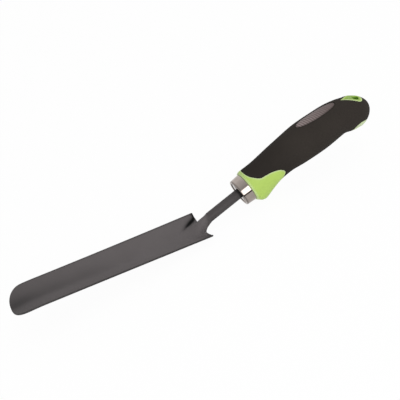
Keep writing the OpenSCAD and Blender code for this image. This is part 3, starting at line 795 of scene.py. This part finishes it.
def setInputs(node, values):
    # fixed values on a node's sockets, by name or by number
    for key, value in values.items():
        node.inputs[key].default_value = value


def addNode(tree, kind, values=None, **settings):
    # a node with its settings, then with the fixed values of its sockets
    node = tree.nodes.new(kind)
    for key, value in settings.items():
        setattr(node, key, value)
    setInputs(node, values or {})
    return node


def join(tree, source, out, sink, into):
    # a link from one node's output to another's input
    tree.links.new(source.outputs[out], sink.inputs[into])


def solid(colour):
    # a colour with full alpha
    return (*colour, 1)


def grainGroup():
    # two noises on the piece's own coordinates, spread to 0 and 1
    group, source, sink = newGroup(
        "FineGrain", [("Scale", "NodeSocketFloat", 1000.0), ("Cloud Scale", "NodeSocketFloat", 60.0)],
        [("Speckle", "NodeSocketFloat"), ("Cloud", "NodeSocketFloat")])
    place = addNode(group, "ShaderNodeTexCoord")
    for scale, out in (("Scale", "Speckle"), ("Cloud Scale", "Cloud")):
        noise = addNode(group, "ShaderNodeTexNoise", {"Detail": 3.0, "Roughness": 0.55})
        spread = addNode(group, "ShaderNodeMapRange", {"From Min": 0.28, "From Max": 0.72})
        join(group, place, "Object", noise, "Vector")
        join(group, source, scale, noise, "Scale")
        join(group, noise, "Fac", spread, "Value")
        join(group, spread, "Result", sink, out)
    return group


def paintedShadingGroup():
    # painted shade and light: the colour goes to a deep tone by the shade where it is above zero, and to a
    # pale tone where it is below
    group, source, sink = newGroup(
        "PaintedShadeAndLight", [("Color", "NodeSocketColor", (0.1, 0.1, 0.1, 1)), ("Shade Tone", "NodeSocketColor", (0, 0, 0, 1)),
                 ("Highlight Tone", "NodeSocketColor", (1, 1, 1, 1))], [("Color", "NodeSocketColor")])
    shade = addNode(group, "ShaderNodeAttribute", attribute_name="shade")
    tone = source.outputs["Color"]
    for label, sign in (("Shade Tone", 1.0), ("Highlight Tone", -1.0)):
        share = addNode(group, "ShaderNodeMath", {1: sign}, operation="MULTIPLY", use_clamp=True)
        join(group, shade, "Fac", share, 0)
        tone = mixColours(group, share.outputs[0], tone, source.outputs[label])
    group.links.new(tone, sink.inputs["Color"])
    return group


def mixColours(tree, share, first, second):
    # from the first colour to the second by the share; each is a socket, or a colour set on the node
    mix = addNode(tree, "ShaderNodeMix", data_type="RGBA")
    for number, value in ((0, share), (6, first), (7, second)):
        if isinstance(value, bpy.types.NodeSocket):
            tree.links.new(value, mix.inputs[number])
        else:
            mix.inputs[number].default_value = value
    return mix.outputs[2]


def addRibs(tree, paint, ribs):
    # fine slanting ribs at the front of the badge: pale bands of a wave, fading towards the butt
    place = addNode(tree, "ShaderNodeTexCoord")
    turn = addNode(tree, "ShaderNodeMapping", {"Rotation": (0, 0, ribs["slant"])})
    waveValues = {"Scale": ribs["scale"], "Distortion": ribs["bend"], "Detail": 2.0}
    wave = addNode(tree, "ShaderNodeTexWave", waveValues, wave_type="BANDS", bands_direction="X")
    parts = addNode(tree, "ShaderNodeSeparateXYZ")
    fade = addNode(tree, "ShaderNodeMapRange", {"From Min": ribs["from"], "From Max": ribs["to"],
                                                "To Min": ribs["share"], "To Max": 0.0})
    share = addNode(tree, "ShaderNodeMath", operation="MULTIPLY")
    join(tree, place, "Object", turn, "Vector")
    join(tree, turn, "Vector", wave, "Vector")
    join(tree, place, "Object", parts, 0)
    join(tree, parts, "X", fade, "Value")
    join(tree, wave, "Fac", share, 0)
    join(tree, fade, "Result", share, 1)
    return mixColours(tree, share.outputs[0], paint, solid(ribs["colour"]))


# the speckle group, and the group that paints shade and light
grain, paintedShading = grainGroup(), paintedShadingGroup()


def newFinish(name, look):
    # colour by speckle and cloud, ribs if the look has them, then the points' painted shade and light;
    # roughness and a fine bump by speckle
    material = bpy.data.materials.new(name)
    material.use_nodes = True
    tree = material.node_tree
    shader = tree.nodes["Principled BSDF"]
    source = addNode(tree, "ShaderNodeGroup", {"Scale": look["scale"], "Cloud Scale": look["cloudScale"]},
                     node_tree=grain)
    tone = addNode(tree, "ShaderNodeMix", {0: look["cloud"]}, data_type="FLOAT")
    join(tree, source, "Speckle", tone, 2)
    join(tree, source, "Cloud", tone, 3)
    ends = [[c * share for c in look["colour"]] for share in (1 - look["vary"], 1 + look["vary"])]
    paint = mixColours(tree, tone.outputs[0], solid(ends[0]), solid(ends[1]))
    if "ribs" in look:
        paint = addRibs(tree, paint, look["ribs"])
    # the colours of the painted shade and painted light for the tone on the points
    shaded = addNode(tree, "ShaderNodeGroup", {"Shade Tone": solid(look["deep"]), "Highlight Tone": solid(look["paintedLight"])},
                     node_tree=paintedShading)
    tree.links.new(paint, shaded.inputs["Color"])
    join(tree, shaded, "Color", shader, "Base Color")
    sheen = addNode(tree, "ShaderNodeMapRange", {"To Min": look["rough"][0], "To Max": look["rough"][1]})
    join(tree, source, "Speckle", sheen, "Value")
    join(tree, sheen, "Result", shader, "Roughness")
    bump = addNode(tree, "ShaderNodeBump", {"Strength": look["bump"], "Distance": bumpDepth})
    join(tree, source, "Speckle", bump, "Height")
    join(tree, bump, "Normal", shader, "Normal")
    setInputs(shader, {"Metallic": look.get("metal", 0.0), "Specular IOR Level": look["specular"]})
    return material


for piece, name, look in ((bladePiece, "PowderCoat", coat), (stemPiece, "StemCoat", coat),
                          (ferrulePiece, "Plating", plating), (corePiece, "LimePlastic", lime),
                          (sleevePiece, "SoftGrip", softGrip), (badgePiece, "BadgeGrey", badgeGrey)):
    piece.data.materials.append(newFinish(name, look))
print("finishes set")


# Studio: a pale floor, two softboxes, soft light all round and cards that only gloss shows
studio = {
    "floor": 0.95, "floorGlow": 0.96, "floorHalf": 3, "floorRough": 0.9, "sky": 0.66, "skySeen": 1.0,
    "aim": (0.02, 0.0, 0.02),
    "boxes": {
        "FrontBox": {"from": (-0.09, -0.88, 0.37), "size": 0.64, "power": 3.4},
        "TopBox": {"from": (0.5, 0.1, 1.1), "size": 0.9, "power": 2.0}},
    "cards": {
        "SideCard": {"from": (-0.75, -0.45, 0.0), "to": (-0.2, -0.45, 0.6), "tone": 0.03},
        "FrontCard": {"from": (-0.14, -0.1, 0.0012), "to": (0.012, 0.06, 0.0012), "tone": 0.04},
        "LowCard": {"from": (-0.15, -0.12, 0.0015), "to": (0.25, -0.12, 0.021), "tone": 0.03},
        "FloorCard": {"from": (-0.1, -0.12, 0.001), "to": (0.2, 0.05, 0.001), "tone": 0.78},
        "HighCard": {"from": (-0.7, -0.58, 0.6), "to": (0.7, 0.45, 0.6), "tone": 0.5, "farTone": 0.95}},
    "camera": {"lens": 64.655, "sensor": 36.0, "near": 0.01, "far": 20.0,
               "from": (-0.13319, -0.449275, 0.373872), "turn": (52.1114, 15.3154, -28.084)}}
white = (1, 1, 1, 1)


def seenOrGlossy(tree):
    # 1 for rays from the camera, from gloss and through glass: the greatest of the three
    path = addNode(tree, "ShaderNodeLightPath")
    seen = path.outputs["Is Camera Ray"]
    for ray in ("Is Glossy Ray", "Is Transmission Ray"):
        most = addNode(tree, "ShaderNodeMath", operation="MAXIMUM")
        tree.links.new(seen, most.inputs[0])
        join(tree, path, ray, most, 1)
        seen = most.outputs[0]
    return seen


def mixShaders(tree, share, first, second, outputNode):
    # from the first shader to the second by the share, into the output node
    mix = addNode(tree, "ShaderNodeMixShader")
    tree.links.new(share, mix.inputs[0])
    join(tree, first, 0, mix, 1)
    join(tree, second, 0, mix, 2)
    join(tree, mix, "Shader", tree.nodes[outputNode], "Surface")


def addSheet(name, corners):
    # one flat face on the stage, with a material of its own that has no gloss
    mesh = bpy.data.meshes.new(name)
    mesh.from_pydata(corners, [], [(0, 1, 2, 3)])
    sheet = addObject(name, mesh)
    material = bpy.data.materials.new(name + "Tone")
    material.use_nodes = True
    shader = material.node_tree.nodes["Principled BSDF"]
    setInputs(shader, {"Specular IOR Level": 0.0})
    mesh.materials.append(material)
    return sheet, material.node_tree, shader


def addFloor():
    # a pale square: plain paint for the light, and a share of even white for the rays that see it
    h = studio["floorHalf"]
    tree, shader = addSheet("Floor", [(-h, -h, 0), (h, -h, 0), (h, h, 0), (-h, h, 0)])[1:]
    setInputs(shader, {"Base Color": solid([studio["floor"]] * 3), "Roughness": studio["floorRough"]})
    glow = addNode(tree, "ShaderNodeEmission", {"Color": white, "Strength": 1.0})
    share = addNode(tree, "ShaderNodeMath", {1: studio["floorGlow"]}, operation="MULTIPLY")
    tree.links.new(seenOrGlossy(tree), share.inputs[0])
    mixShaders(tree, share.outputs[0], shader, glow, "Material Output")


def addSky():
    # even light from all round, and plain white for the rays that see it
    world = bpy.data.worlds.new("Studio")
    bpy.context.scene.world = world
    world.use_nodes = True
    tree = world.node_tree
    light = tree.nodes["Background"]
    setInputs(light, {"Color": white, "Strength": studio["sky"]})
    seen = addNode(tree, "ShaderNodeBackground", {"Color": white, "Strength": studio["skySeen"]})
    mixShaders(tree, seenOrGlossy(tree), light, seen, "World Output")


def addSoftbox(name, box):
    # a square lamp turned from its place towards the aim
    data = bpy.data.lights.new(name, "AREA")
    data.shape, data.size, data.energy = "SQUARE", box["size"], box["power"]
    lamp = addObject(name, data)
    lamp.location = box["from"]
    lamp.rotation_euler = (Vector(studio["aim"]) - lamp.location).to_track_quat("-Z", "Y").to_euler()


def addCard(name, card):
    # a flat card shown by gloss alone, of one tone, or of a tone that goes evenly to another along Y
    (x0, y0, z0), (x1, y1, z1) = card["from"], card["to"]
    piece, tree, shader = addSheet(name, [(x0, y0, z0), (x1, y0, z0), (x1, y1, z1), (x0, y1, z1)])
    piece.visible_camera = piece.visible_diffuse = piece.visible_shadow = False
    setInputs(shader, {"Base Color": (0, 0, 0, 1), "Emission Strength": 1.0})
    if "farTone" not in card:
        setInputs(shader, {"Emission Color": solid([card["tone"]] * 3)})
        return
    place = addNode(tree, "ShaderNodeTexCoord")
    parts = addNode(tree, "ShaderNodeSeparateXYZ")
    fade = addNode(tree, "ShaderNodeMapRange", {"From Min": y0, "From Max": y1, "To Min": card["tone"],
                                                "To Max": card["farTone"]})
    join(tree, place, "Object", parts, 0)
    join(tree, parts, "Y", fade, "Value")
    join(tree, fade, "Result", shader, "Emission Color")


addFloor()
for name, card in studio["cards"].items():
    addCard(name, card)
addSky()
for name, box in studio["boxes"].items():
    addSoftbox(name, box)

view = studio["camera"]
optics = bpy.data.cameras.new("Camera")
optics.sensor_width, optics.lens = view["sensor"], view["lens"]
optics.clip_start, optics.clip_end = view["near"], view["far"]
camera = addObject("Camera", optics)
camera.location = view["from"]
camera.rotation_euler = [math.radians(angle) for angle in view["turn"]]
bpy.context.scene.camera = camera
bpy.context.scene.view_settings.view_transform = "Standard"
print("studio set")
